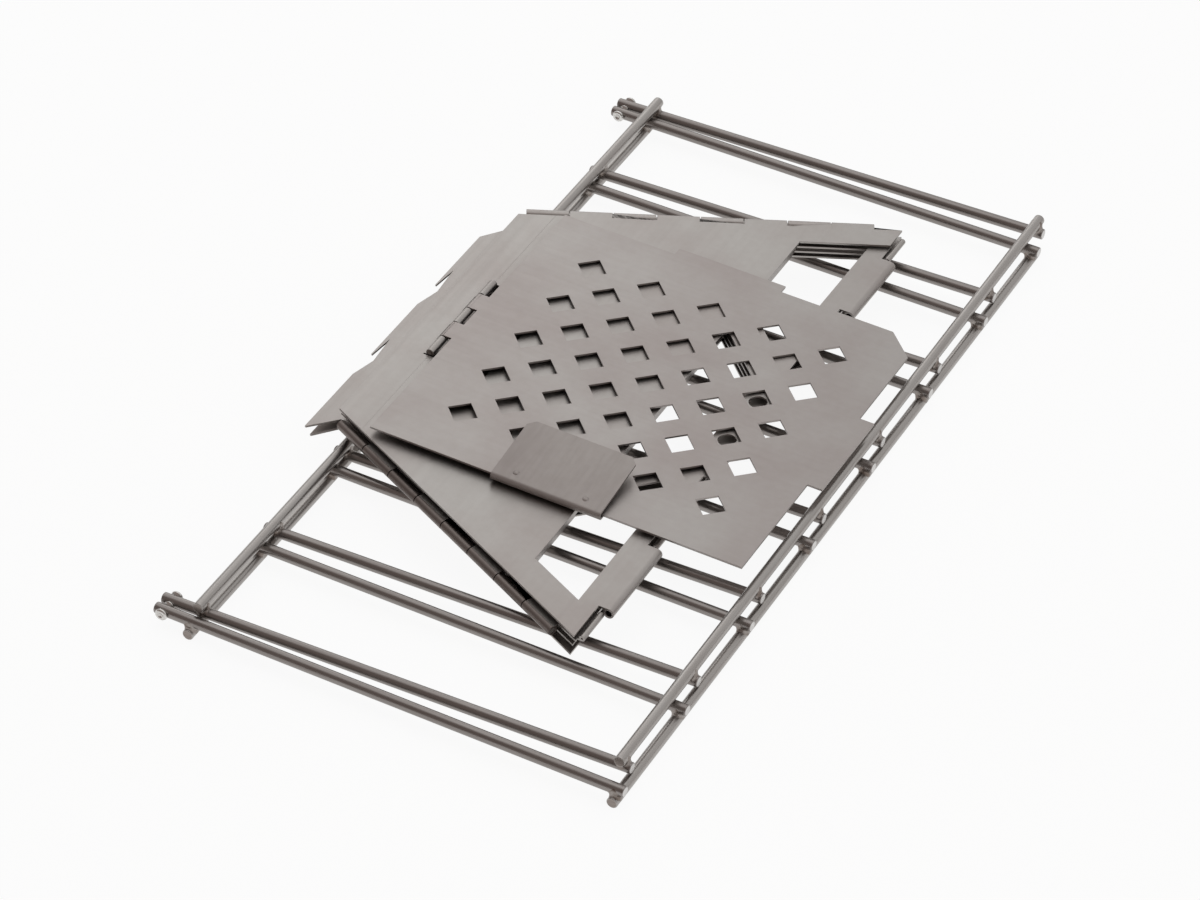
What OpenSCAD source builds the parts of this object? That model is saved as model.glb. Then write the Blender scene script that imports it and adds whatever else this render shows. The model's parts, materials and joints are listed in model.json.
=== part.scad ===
// Folding twig stove packed flat on its two-leaf wire grill, all sizes in millimetres.
// Four hinged trapezoid panels, a hinged perforated grate, a slide-on clip and a rod grill.
// +X runs along the grill's cross bars, +Y along its rails, +Z up; the grill stands on Z = 0.

/* [Grill rods] */
// diameter of every grill rod
rod_d = 3; // [2.5:0.1:4]
// depth the welded crossings sink into each other
weld_sink = 0.15; // [0.1:0.05:0.3]
// free height between the two folded leaves
leaf_gap = 0.3; // [0.3:0.05:1]
// distance between the rails of the upper leaf
top_rail_span = 117.8; // [110:0.1:125]
// distance between the rails of the lower leaf
low_rail_span = 120.8; // [112:0.1:130]
// how far the lower left rail lies outside the upper left one
low_rail_out = 0.9; // [0:0.1:2]
// spacing of the cross bars
bar_pitch = 35.5; // [30:0.1:40]
// spacing of the last two cross bars of a leaf
end_pitch = 33; // [28:0.1:38]
// stub of each bar past the right rail
bar_stub = 2.4; // [1.6:0.1:4]
// stub of the upper leaf's inner bars past their left rail
top_left_stub = 3.2; // [2:0.1:4]
// stub of the lower leaf's inner bars past their left rail
low_left_stub = 1.9; // [1.6:0.1:3]
// length of the end bars past the left rail, to their rounded tips
bar_tail = 11.5; // [9:0.1:14]
// stub of each rail past the end bars
rail_stub = 2.4; // [1.6:0.1:4]
// offset of the lower leaf along the rails, so the bars lie side by side
leaf_shift = 3.9; // [3.7:0.1:5]
// lean of the lower leaf's bars against its rails, in degrees
low_lean = 1.8; // [0:0.1:2]

/* [Grill rivets] */
// distance of the rivet axis from the upper left rail
rivet_out = 8.8; // [7:0.1:10]
// shank diameter
rivet_d = 1.4; // [1:0.1:1.6]
// head diameter
rivet_head_d = 3.4; // [2.5:0.1:4]
// head height
rivet_head_h = 0.9; // [0.5:0.1:1.2]
// running clearance of the shank in the lower leaf, on the radius
rivet_play = 0.05; // [0.02:0.01:0.1]
// room under each head and beside the spacing collar
rivet_room = 0.12; // [0.1:0.01:0.3]
// diameter of the collar that keeps the two bars apart
collar_d = 2.6; // [2.2:0.1:3.2]

/* [Stove panels] */
// sheet thickness of panels, grate and clip
sheet_t = 0.6; // [0.4:0.1:0.8]
// length of a panel's short edge
short_len = 97; // [90:0.5:102]
// length of a panel's long edge
long_len = 191; // [180:0.5:200]
// distance from the short edge to the long edge
panel_h = 93.5; // [90:0.1:97]
// how far the short edge overhangs the upper left rail
overhang = 3.8; // [3:0.1:5]
// position of the stack's centre line along the rails, from the near upper bar
stack_y = 122.6; // [118:0.1:125]
// gap under the stack where it lies on the grill
rest_gap = 0.03; // [0.02:0.01:0.05]
// window: distance of its near side from the long edge
window_from = 21.9; // [19.5:0.1:25.5]
// window: width across
window_w = 16.6; // [13:0.1:18]
// window: border left along the near leg of the top panel, measured along the rails
window_near = 9.7; // [8:0.1:11]
// window: border left along the far leg of the top panel, measured along the rails
window_far = 7.8; // [7:0.1:10]
// how much wider each window opens than the one in the panel above it
window_step = 0.85; // [0:0.05:1]
// how far the near legs of the two middle panels lie inside the other near legs
inner_leg_in = 0.9; // [0:0.1:1.5]
// how far the long edges of the two lower panels lie inside the upper two
low_long_in = 1; // [0.5:0.1:2]
// width of the two struts that cross each window
strut_w = 9.3; // [8:0.1:10]
// place where a strut's middle leaves the window's near side, from the centre line
strut_v = 39; // [38:0.1:40]
// length of the top panel's strip past its far strut before it springs down
strip_free = 1; // [0.8:0.1:3]
// drop of the top panel's long strip at its free far end
strip_dip = 1.2; // [0.5:0.1:1.3]
// length of that strip's free end under the far border
strip_under = 5; // [3:0.1:6]
// depth of the fins along the short edge of the two lower panels
fin_h = 6.8; // [5:0.1:8]
// how far the lowest panel's fins stand back behind those above
last_fin_in = 1.5; // [0:0.1:2]
// spacing of the fins
fin_pitch = 34.5; // [33:0.1:35]
// position of the first fin's point from the centre line
fin_first = -54.5; // [-56:0.1:-53]
// length of a fin's straight edge
fin_flat = 24.7; // [23:0.1:26]
// width left at a fin's point
fin_point = 0.35; // [0.3:0.05:0.6]
// length of the notch behind a fin's point
barb_len = 7.5; // [6:0.1:9]
// depth of the notch at its inner end
barb_in = 1.15; // [1:0.05:1.4]
// depth of the notch at its mouth
barb_mouth = 1.9; // [1.6:0.05:2.2]
// distance of the notch's mouth past the fin's point
barb_past = 2.3; // [1.5:0.1:3]

/* [Panel hinges] */
// outer diameter of the rolled knuckles
barrel_d = 2.8; // [2.6:0.1:3]
// pin diameter
pin_d = 1.5; // [1.3:0.1:1.6]
// running clearance of a pin on the radius
pin_play = 0.05; // [0.02:0.01:0.1]
// distance of a hinge axis outside the panel's leg
axis_out = 1.75; // [1.75:0.05:2.4]
// knuckles of one hinge
knuckles = 8; // [8:2:8]
// length along the leg from the short corner to the first knuckle
knuckle_from = 2; // [1:0.1:3]
// spacing of the knuckles along the leg
knuckle_pitch = 11.9; // [11:0.1:12]
// gap between neighbouring knuckles
knuckle_gap = 0.3; // [0.3:0.05:0.6]

/* [Long edge beads] */
// outer diameter of the top panel's rolled beads
top_bead_d = 3; // [2.6:0.1:3]
// distance from the long edge to the axis of the top panel's beads
top_bead_out = 2.75; // [2.6:0.05:3.2]
// start of the top panel's beads from the centre line
top_bead_from = 56; // [55.5:0.1:57]
// end of the top panel's beads from the centre line
top_bead_to = 82.5; // [80:0.1:82.5]
// outer diameter of the second panel's rolled beads
next_bead_d = 1.7; // [1.7:0.1:2]
// distance from the long edge to the axis of the second panel's beads
next_bead_out = 1.2; // [1.2:0.1:1.5]
// start of the second panel's inner beads from the centre line
next_bead_from = 27; // [26:0.1:28]
// end of the second panel's inner beads from the centre line
next_bead_to = 54.5; // [53:0.1:55]
// start of the second panel's corner beads from the centre line
corner_bead_from = 83.2; // [83.2:0.1:88]
// end of the second panel's corner beads from the centre line
corner_bead_to = 93.5; // [92:0.1:94]
// half length of the flat tongue in the middle of the top panel's long edge
tongue_half = 25; // [22:0.5:25]
// reach of that tongue past the long edge
tongue_out = 2.9; // [2.5:0.1:3]
// diameter of the two holes in that tongue
tongue_hole_d = 5; // [4:0.1:5.4]
// distance of those holes from the centre line
tongue_hole_y = 9; // [7:0.1:12]

/* [Grate] */
// side of the square grate
grate_side = 106.6; // [104:0.2:108]
// distance from the panel's short edge to the grate's hinge axis
grate_axis = 9.3; // [9:0.1:10]
// distance from that axis to the grate's hinge edge
grate_from_axis = 2.5; // [2.3:0.1:3]
// outer diameter of the grate hinge's knuckles
grate_barrel_d = 2.3; // [2.2:0.1:2.6]
// diameter of the grate hinge's pin
grate_pin_d = 1.2; // [1:0.1:1.3]
// knuckle length of the grate hinge
grate_knuckle = 7; // [6:0.1:7.5]
// roll of the grate's plate, near edge up, in degrees
grate_roll = 0.6; // [0:0.1:0.6]
// slope of the grate's plate, free end down, in degrees
grate_slope = 0.42; // [0:0.02:0.42]
// corner cut off the grate
grate_chamfer = 8; // [6:0.1:10]
// side of the square holes, which stand on their points
hole_side = 6.2; // [5.6:0.1:6.6]
// spacing of the holes in one row
hole_pitch = 17.9; // [17.5:0.1:18.2]
// reach of the tab on the far side
side_tab_out = 2.8; // [2:0.1:3.5]
// start of that tab from the hinge edge
side_tab_from = 33.5; // [30:0.1:36]
// length of that tab
side_tab_len = 32; // [28:0.1:34]
// reach of the tab on the end
end_tab_out = 4.2; // [3:0.1:5]
// length of that tab
end_tab_len = 31.2; // [28:0.1:34]
// length of the panel's cut-out in front of the grate hinge
relief_len = 18.6; // [17:0.1:20]

/* [Clip] */
// width of the clip along the grate's edge
clip_w = 31.5; // [28:0.5:36]
// length of each leaf from the fold's axis
clip_leaf = 20.5; // [18:0.5:22]
// free height inside the fold
clip_room = 1.25; // [1.2:0.05:1.3]
// distance of the clip's near end from the grate's hinge edge
clip_from = 35.9; // [33:0.1:38]
// angle at which the upper leaf springs open, in degrees
clip_spread = 8; // [0:0.5:10]
// corners cut off the leaves
clip_chamfer = 2; // [1:0.1:3]
// distance of the fold's axis outside the grate's edge
clip_out = 0.4; // [0.35:0.05:0.6]
// diameter of the two dimples
dimple_d = 2.6; // [2:0.1:3]
// height of the dimples over the leaf
dimple_h = 0.35; // [0.2:0.05:0.4]
// distance of the dimples from the fold's axis
dimple_back = 2.2; // [1.8:0.1:4]
// distance of the dimples from the clip's ends
dimple_in = 5.8; // [5:0.1:8]

/* [Hidden] */
$fn = 48;
rod_r = rod_d / 2;
bars = 8;
spans = bars - 1;
weld_rise = rod_d - weld_sink;
// heights of the four rod layers
low_rail_z = rod_r;
low_bar_z = low_rail_z + weld_rise;
leaf_step = leaf_gap + weld_sink;
top_bar_z = low_bar_z + leaf_step;
top_rail_z = top_bar_z + weld_rise;
hinge_z = (low_bar_z + top_bar_z) / 2;
leaf_len = (spans - 1) * bar_pitch + end_pitch;
low_lean_shift = tan(low_lean) * low_rail_span;
low_right_x = low_rail_span - low_rail_out;
low_y0 = -leaf_shift;
rivet_x = -rivet_out;
low_rivet_y = low_y0 + tan(low_lean) * (rivet_out - low_rail_out);
// middle of the whole object in plan, measured from the near left upper crossing
rivet_far_y = leaf_len + rod_r + rivet_room + rivet_head_h;
low_near_y = low_y0 - low_lean_shift - rail_stub;
mid_x = (low_right_x + bar_stub * cos(low_lean) + rod_r * sin(low_lean) - bar_tail) / 2;
mid_y = (rivet_far_y + low_near_y) / 2;
// stack of sheets
panels = 4;
stack_step = barrel_d - sheet_t;
barrel_r = barrel_d / 2;
short_u = -overhang;
long_u = short_u + panel_h;
low_long_u = long_u - low_long_in;
leg_turn = atan2((long_len - short_len) / 2, panel_h);
leg_rate = tan(leg_turn);
knuckle_span = knuckles * knuckle_pitch;
tilt = asin((top_rail_z - top_bar_z) / low_long_u);
stack_z = top_rail_z + (rod_r + rest_gap) / cos(tilt);
level_4 = 0;
level_3 = stack_step;
level_2 = 2 * stack_step;
level_1 = 3 * stack_step;
window_u0 = long_u - window_from;
window_u1 = window_u0 + window_w;
// the top panel's strip is free past its far strut and ends under the far border
strut_half_v = strut_w / sqrt(2);
strut_root = panels * window_step;
strip_bend_v = strut_v - window_w + strut_half_v + strip_free;
strip_v1 = leg_v(window_u1) - window_far + strip_under;
strip_turn = asin(strip_dip / (strip_v1 - strip_bend_v));
fin_u = short_u - fin_h;
// grate and clip over the top panel
grate_axis_u = short_u + grate_axis;
grate_barrel_r = grate_barrel_d / 2;
grate_axis_w = level_1 + grate_barrel_r;
grate_u0 = grate_axis_u + grate_from_axis;
grate_w = grate_axis_w + grate_barrel_r - sheet_t;
grate_half = grate_side / 2;
// knuckles of the grate hinge: the panel keeps every second place, the grate those between
grate_places = 5;
panel_places = [0 : 2 : grate_places - 1];
grate_own_places = [1 : 2 : grate_places - 1];
grate_hinge_half = grate_places * grate_knuckle / 2;
relief_u0 = grate_axis_u - axis_out;
relief_half = grate_hinge_half + knuckle_gap;
hole_rows = 5;
clip_u0 = grate_u0 + clip_from;
clip_v = -grate_half - clip_out;
clip_inner_r = clip_room / 2;
clip_outer_r = clip_inner_r + sheet_t;
clip_w0 = grate_w - rest_gap + clip_inner_r;
lap = 0.4;

// grill coordinates to the object's own middle
module on_grill() {
  translate([-mid_x, -mid_y, 0]) children();
}

// sheet coordinates of the stack: u across, v along the centre line, w up from the lowest sheet
module on_stack() {
  on_grill()
    translate([0, stack_y, stack_z])
      rotate([0, tilt, 0])
        children();
}

module rod_x(len) {
  rotate([0, 90, 0]) cylinder(d = rod_d, h = len);
}

module rod_y(len) {
  rotate([-90, 0, 0]) cylinder(d = rod_d, h = len);
}

// position of cross bar i of a leaf along the rails, counted from the near end
function top_bar_y(i) = i < spans ? i * bar_pitch : leaf_len;
function low_bar_y(i) = low_y0 + (i == 0 ? 0 : end_pitch + (i - 1) * bar_pitch);

module rail_top(x) {
  color("silver")
    on_grill()
      translate([x, -rail_stub, top_rail_z])
        rod_y(leaf_len + 2 * rail_stub);
}

module rail_low(x, shift) {
  color("silver")
    on_grill()
      translate([x, low_y0 - shift - rail_stub, low_rail_z])
        rod_y(leaf_len + 2 * rail_stub);
}

module rivet_bore(r) {
  translate([rivet_x, -rail_stub - leaf_len, hinge_z])
    rotate([-90, 0, 0])
      cylinder(r = r, h = 3 * leaf_len);
}

module bar_top(i) {
  tail = (i == 0 || i == spans) ? bar_tail : top_left_stub;
  color("silver")
    on_grill()
      difference() {
        translate([-tail, top_bar_y(i), top_bar_z])
          rod_x(tail + top_rail_span + bar_stub);
        rivet_bore(rivet_d / 2);
      }
}

module bar_low(i) {
  tail = (i == 0 || i == spans) ? bar_tail - low_rail_out : low_left_stub;
  color("silver")
    on_grill()
      difference() {
        translate([-low_rail_out, low_bar_y(i), low_bar_z])
          rotate([0, 0, -low_lean])
            translate([-tail, 0, 0])
              rod_x(tail + low_rail_span / cos(low_lean) + bar_stub);
        rivet_bore(rivet_d / 2 + rivet_play);
      }
}

// one rivet: y_low and y_top are the middles of the two bars it joins
module rivet(y_low, y_top) {
  y0 = y_low - rod_r - rivet_room;
  y1 = y_top + rod_r + rivet_room;
  c0 = y_low + rod_r + rivet_room;
  c1 = y_top - rod_r - rivet_room;
  translate([rivet_x, 0, hinge_z])
    rotate([-90, 0, 0]) {
      translate([0, 0, y0 - rivet_head_h])
        cylinder(d = rivet_d, h = y1 - y0 + 2 * rivet_head_h);
      translate([0, 0, y0 - rivet_head_h])
        cylinder(d1 = rivet_head_d - rivet_head_h, d2 = rivet_head_d, h = rivet_head_h);
      translate([0, 0, y1])
        cylinder(d1 = rivet_head_d, d2 = rivet_head_d - rivet_head_h, h = rivet_head_h);
      translate([0, 0, c0])
        cylinder(d = collar_d, h = c1 - c0);
    }
}

module rivets() {
  color("dimgray")
    on_grill() {
      rivet(low_rivet_y, 0);
      rivet(low_rivet_y + leaf_len, leaf_len);
    }
}

// half width of a panel at distance u across the stack
function leg_v(u) = short_len / 2 + leg_rate * (u - short_u);

// frame of a leg hinge: x along the leg from the short corner, y outward, at the axis height
module on_leg(side, w) {
  mirror([0, side < 0 ? 1 : 0, 0])
    translate([short_u, short_len / 2, w])
      rotate([0, 0, leg_turn])
        translate([0, axis_out - (side < 0 ? inner_leg_in : 0), 0])
          children();
}

// height of a barrel's axis over the underside of its sheet
function barrel_w(up) = up ? barrel_r : sheet_t - barrel_r;

// every second knuckle of a leg, with the tongue that joins it to the sheet
module leg_knuckles(side, first, up) {
  len = knuckle_pitch - knuckle_gap;
  on_leg(side, barrel_w(up))
    for (i = [first : 2 : knuckles - 1])
      translate([knuckle_from + i * knuckle_pitch + knuckle_gap / 2, 0, 0]) {
        rotate([0, 90, 0]) cylinder(d = barrel_d, h = len);
        translate([0, -axis_out - lap, -barrel_w(up)])
          cube([len, axis_out + lap, sheet_t]);
      }
}

module leg_bore(side, up, r) {
  on_leg(side, barrel_w(up))
    rotate([0, 90, 0])
      cylinder(r = r, h = knuckle_from + knuckle_span + knuckle_pitch);
}

// height of a bead's axis over the underside of its sheet
function bead_w(d, up) = up ? d / 2 : sheet_t - d / 2;

// solid roll of one bead segment with its joining strip; the hollow is cut afterwards
module bead_roll(v0, v1, d, out, up) {
  len = v1 - v0;
  translate([long_u + out, v0, bead_w(d, up)])
    rotate([-90, 0, 0])
      cylinder(d = d, h = len);
  translate([long_u - lap, v0, 0])
    cube([out + lap, len, sheet_t]);
}

module bead_hollow(v0, v1, d, out, up) {
  translate([long_u + out, v0 - lap, bead_w(d, up)])
    rotate([-90, 0, 0])
      cylinder(d = d - 2 * sheet_t, h = v1 - v0 + 2 * lap);
}

module both_sides() {
  children();
  mirror([0, 1, 0]) children();
}

// outline of the fin at point v, from its shoulder to the mouth of its notch
function fin_points(u, v) = [
  [u, v + fin_flat],
  [u, v],
  [u + fin_point, v],
  [u + barb_in, v + barb_len],
  [u + barb_mouth, v - barb_past]
];

// the last fin runs straight back to the panel's corner
function end_fin_points(u, v) = [
  [u, v + fin_flat],
  [u, v],
  [u + fin_point, v]
];

// panels count from the top: the middle two are set in at the near leg, the lower two are
// finned along the short edge and set in at the long one
function near_in(n) = n == 2 || n == 3 ? inner_leg_in / cos(leg_turn) : 0;
function is_low(n) = n > 2;
function fin_edge(n) = fin_u + (n == panels ? last_fin_in : 0);

function short_edge(n) =
  is_low(n)
    ? concat(
        [[short_u, short_len / 2]],
        fin_points(fin_edge(n), fin_first + 2 * fin_pitch),
        fin_points(fin_edge(n), fin_first + fin_pitch),
        end_fin_points(fin_edge(n), fin_first),
        [[short_u, near_in(n) - short_len / 2]])
    : [[short_u, short_len / 2], [short_u, near_in(n) - short_len / 2]];

// window of a panel, crossed by two struts that lean towards the middle of the long edge
module window(n) {
  more = window_step * (n - 1);
  u0 = window_u0 - more;
  difference() {
    polygon([
      [u0, window_near - more - leg_v(u0)], [window_u1, window_near - more - leg_v(window_u1)],
      [window_u1, leg_v(window_u1) - window_far + more], [u0, leg_v(u0) - window_far + more]]);
    strut();
    mirror([0, 1]) strut();
  }
}

module strut() {
  end_u = window_u1 + lap;
  start_u = window_u0 - strut_root;
  start_v = strut_v + window_u0 - start_u;
  end_v = strut_v + window_u0 - end_u;
  polygon([
    [start_u, start_v - strut_half_v], [end_u, end_v - strut_half_v],
    [end_u, end_v + strut_half_v], [start_u, start_v + strut_half_v]]);
}

// room round the free end of the top panel's strip
module strip_room() {
  u0 = window_u1 - lap;
  u1 = long_u + lap;
  polygon([
    [u0, strip_bend_v], [u1, strip_bend_v],
    [u1, leg_v(u1) - window_far], [u0, leg_v(u0) - window_far]]);
}

module panel_outline(n) {
  end_u = is_low(n) ? low_long_u : long_u;
  difference() {
    polygon(concat(
      [[end_u, near_in(n) - leg_v(end_u)], [end_u, leg_v(end_u)]],
      short_edge(n)));
    window(n);
    if (n == 1) strip_room();
  }
}

// the free end of the top panel's strip, sprung down
module on_strip() {
  translate([0, strip_bend_v, 0])
    rotate([-strip_turn, 0, 0])
      translate([0, -strip_bend_v, 0])
        children();
}

module strip_end() {
  v0 = strip_bend_v - lap;
  translate([window_u1, v0, 0])
    cube([long_u - window_u1, strip_v1 - v0, sheet_t]);
  bead_roll(top_bead_from, top_bead_to, top_bead_d, top_bead_out, false);
}

// flat part of the top panel's long edge: the tongue in its middle and the near bead
module top_edge() {
  translate([long_u - lap, -tongue_half, 0])
    cube([tongue_out + lap, 2 * tongue_half, sheet_t]);
  bead_roll(-top_bead_to, -top_bead_from, top_bead_d, top_bead_out, false);
}

// the two round holes in the strip's tongue
module tongue_holes() {
  both_sides()
    translate([(window_u1 + long_u + tongue_out) / 2, tongue_hole_y, -sheet_t])
      cylinder(d = tongue_hole_d, h = 3 * sheet_t);
}

// beads of the second panel's long edge
module next_edge() {
  both_sides() {
    bead_roll(next_bead_from, next_bead_to, next_bead_d, next_bead_out, true);
    bead_roll(corner_bead_from, corner_bead_to, next_bead_d, next_bead_out, true);
  }
}

// start of a knuckle of the grate hinge along the rails
function grate_place_v(i) = -grate_hinge_half + i * grate_knuckle + knuckle_gap / 2;

module grate_barrels(places) {
  for (i = places)
    translate([grate_axis_u, grate_place_v(i), grate_barrel_r])
      rotate([-90, 0, 0])
        cylinder(d = grate_barrel_d, h = grate_knuckle - knuckle_gap);
}

module grate_bore(r) {
  translate([grate_axis_u, -grate_half, grate_barrel_r])
    rotate([-90, 0, 0])
      cylinder(r = r, h = grate_side);
}

module panel_1() {
  color("lightgray")
    on_stack()
      translate([0, 0, level_1])
        difference() {
          union() {
            difference() {
              linear_extrude(sheet_t) panel_outline(1);
              translate([relief_u0, -relief_half, -sheet_t])
                cube([relief_len, 2 * relief_half, 3 * sheet_t]);
            }
            leg_knuckles(1, 1, false);
            top_edge();
            on_strip() strip_end();
            grate_barrels(panel_places);
            for (i = panel_places)
              translate([relief_u0 - lap, grate_place_v(i), 0])
                cube([axis_out + lap, grate_knuckle - knuckle_gap, sheet_t]);
          }
          leg_bore(1, false, pin_d / 2 + pin_play);
          grate_bore(grate_pin_d / 2);
          tongue_holes();
          bead_hollow(-top_bead_to, -top_bead_from, top_bead_d, top_bead_out, false);
          on_strip()
            bead_hollow(top_bead_from, top_bead_to, top_bead_d, top_bead_out, false);
        }
}

module panel_2() {
  color("lightgray")
    on_stack()
      translate([0, 0, level_2])
        difference() {
          union() {
            linear_extrude(sheet_t) panel_outline(2);
            leg_knuckles(1, 0, true);
            leg_knuckles(-1, 1, false);
            next_edge();
          }
          leg_bore(1, true, pin_d / 2);
          leg_bore(-1, false, pin_d / 2 + pin_play);
          bead_hollow(-corner_bead_to, corner_bead_to, next_bead_d, next_bead_out, true);
        }
}

module panel_3() {
  color("lightgray")
    on_stack()
      translate([0, 0, level_3])
        difference() {
          union() {
            linear_extrude(sheet_t) panel_outline(3);
            leg_knuckles(-1, 0, true);
            leg_knuckles(1, 1, false);
          }
          leg_bore(-1, true, pin_d / 2);
          leg_bore(1, false, pin_d / 2 + pin_play);
        }
}

module panel_4() {
  color("lightgray")
    on_stack()
      translate([0, 0, level_4])
        difference() {
          union() {
            linear_extrude(sheet_t) panel_outline(4);
            leg_knuckles(1, 0, true);
          }
          leg_bore(1, true, pin_d / 2);
        }
}

// pin of the hinge whose barrels stand on the sheet at this level
module leg_pin(side, level) {
  color("dimgray")
    on_stack()
      translate([0, 0, level])
        on_leg(side, barrel_r)
          translate([knuckle_from + knuckle_gap, 0, 0])
            rotate([0, 90, 0])
              cylinder(d = pin_d, h = knuckle_span - 2 * knuckle_gap);
}

module square_holes() {
  mid_u = grate_u0 + grate_side / 2;
  for (i = [0 : hole_rows - 1], j = [0 : hole_rows - 1])
    translate([
      mid_u + (i - (hole_rows - 1) / 2) * hole_pitch,
      (j - (hole_rows - 1) / 2) * hole_pitch])
      rotate(45) square(hole_side, center = true);
  for (i = [0 : hole_rows - 2], j = [0 : hole_rows - 2])
    translate([
      mid_u + (i - (hole_rows - 2) / 2) * hole_pitch,
      (j - (hole_rows - 2) / 2) * hole_pitch])
      rotate(45) square(hole_side, center = true);
}

module grate_outline() {
  u1 = grate_u0 + grate_side;
  tab_u = grate_u0 + side_tab_from;
  difference() {
    polygon([
      [grate_u0, -grate_half], [u1, -grate_half],
      [u1, -end_tab_len / 2], [u1 + end_tab_out, -end_tab_len / 2],
      [u1 + end_tab_out, end_tab_len / 2], [u1, end_tab_len / 2],
      [u1, grate_half - grate_chamfer], [u1 - grate_chamfer, grate_half],
      [tab_u + side_tab_len, grate_half], [tab_u + side_tab_len, grate_half + side_tab_out],
      [tab_u, grate_half + side_tab_out], [tab_u, grate_half],
      [grate_u0, grate_half]]);
    square_holes();
  }
}

// frame of the grate's plate, rolled and sloped about the middle of its hinge
module on_plate() {
  on_stack()
    translate([grate_axis_u, 0, grate_axis_w])
      rotate([-grate_roll, grate_slope, 0])
        translate([-grate_axis_u, 0, -grate_axis_w])
          children();
}

module grate() {
  color("lightgray")
    difference() {
      union() {
        on_plate() {
          translate([0, 0, grate_w])
            linear_extrude(sheet_t) grate_outline();
          for (i = grate_own_places)
            translate([grate_axis_u, grate_place_v(i), grate_w])
              cube([grate_from_axis + lap, grate_knuckle - knuckle_gap, sheet_t]);
        }
        on_stack()
          translate([0, 0, level_1]) grate_barrels(grate_own_places);
      }
      on_stack()
        translate([0, 0, level_1]) grate_bore(grate_pin_d / 2 + pin_play);
    }
}

module grate_pin() {
  color("dimgray")
    on_stack()
      translate([grate_axis_u, -grate_hinge_half, grate_axis_w])
        rotate([-90, 0, 0])
          cylinder(d = grate_pin_d, h = 2 * grate_hinge_half);
}

// section of the clip: lower leaf, fold round the origin, upper leaf sprung open
module clip_section() {
  reach = 2 * clip_outer_r;
  difference() {
    circle(r = clip_outer_r);
    circle(r = clip_inner_r);
    polygon([
      [0, 0], [0, -reach], [reach, -reach], [reach, reach],
      [-reach * sin(clip_spread), reach * cos(clip_spread)]]);
  }
  translate([0, -clip_outer_r]) square([clip_leaf, sheet_t]);
  rotate(clip_spread)
    translate([0, clip_inner_r]) square([clip_leaf, sheet_t]);
}

// the corners cut off a leaf's far end
module leaf_corners(z0) {
  translate([0, 0, z0 - sheet_t])
    linear_extrude(3 * sheet_t) {
      polygon([
        [-lap, clip_leaf - clip_chamfer - lap], [clip_chamfer + lap, clip_leaf + lap],
        [-lap, clip_leaf + lap]]);
      polygon([
        [clip_w + lap, clip_leaf - clip_chamfer - lap], [clip_w + lap, clip_leaf + lap],
        [clip_w - clip_chamfer - lap, clip_leaf + lap]]);
    }
}

module clip() {
  dimple_z = clip_outer_r + dimple_h - dimple_d / 2;
  color("lightgray")
    on_plate()
      translate([clip_u0, clip_v, clip_w0]) {
        difference() {
          rotate([90, 0, 90]) linear_extrude(clip_w) clip_section();
          leaf_corners(-clip_outer_r);
          rotate([clip_spread, 0, 0]) leaf_corners(clip_inner_r);
        }
        for (x = [dimple_in, clip_w - dimple_in])
          rotate([clip_spread, 0, 0])
            translate([x, dimple_back, 0])
              intersection() {
                translate([0, 0, dimple_z])
                  rotate([90, 0, 0]) sphere(d = dimple_d);
                translate([0, 0, clip_inner_r + sheet_t / 2])
                  cylinder(d = dimple_d, h = sheet_t + dimple_h);
              }
      }
}

rail_top(0);  // rail_top_left
rail_top(top_rail_span);  // rail_top_right
bar_top(0);  // bar_top_1
bar_top(1);  // bar_top_2
bar_top(2);  // bar_top_3
bar_top(3);  // bar_top_4
bar_top(4);  // bar_top_5
bar_top(5);  // bar_top_6
bar_top(6);  // bar_top_7
bar_top(7);  // bar_top_8
rivets();
rail_low(-low_rail_out, 0);  // rail_low_left
rail_low(low_right_x, low_lean_shift);  // rail_low_right
bar_low(0);  // bar_low_1
bar_low(1);  // bar_low_2
bar_low(2);  // bar_low_3
bar_low(3);  // bar_low_4
bar_low(4);  // bar_low_5
bar_low(5);  // bar_low_6
bar_low(6);  // bar_low_7
bar_low(7);  // bar_low_8
panel_1();
panel_2();
panel_3();
panel_4();
leg_pin(1, level_2);  // pin_12
leg_pin(-1, level_3);  // pin_23
leg_pin(1, level_4);  // pin_34
grate();
grate_pin();
clip();
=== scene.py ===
# %% [markdown]
# A folding twig stove, packed flat on its rod grill
#
# Four hinged sheet panels lie folded on each other, with a perforated grate hinged on the top one
# and a folded clip pushed over the grate's edge. Under them is a grill of two welded rod leaves.
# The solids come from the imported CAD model, which stays where it is. Here every visible piece gets
# the softened edges, the welds and the metal finish that the CAD leaves out.

import json
import math
import random

import bmesh
import bpy
from mathutils import Matrix, Vector
from mathutils.geometry import intersect_line_line

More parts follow.
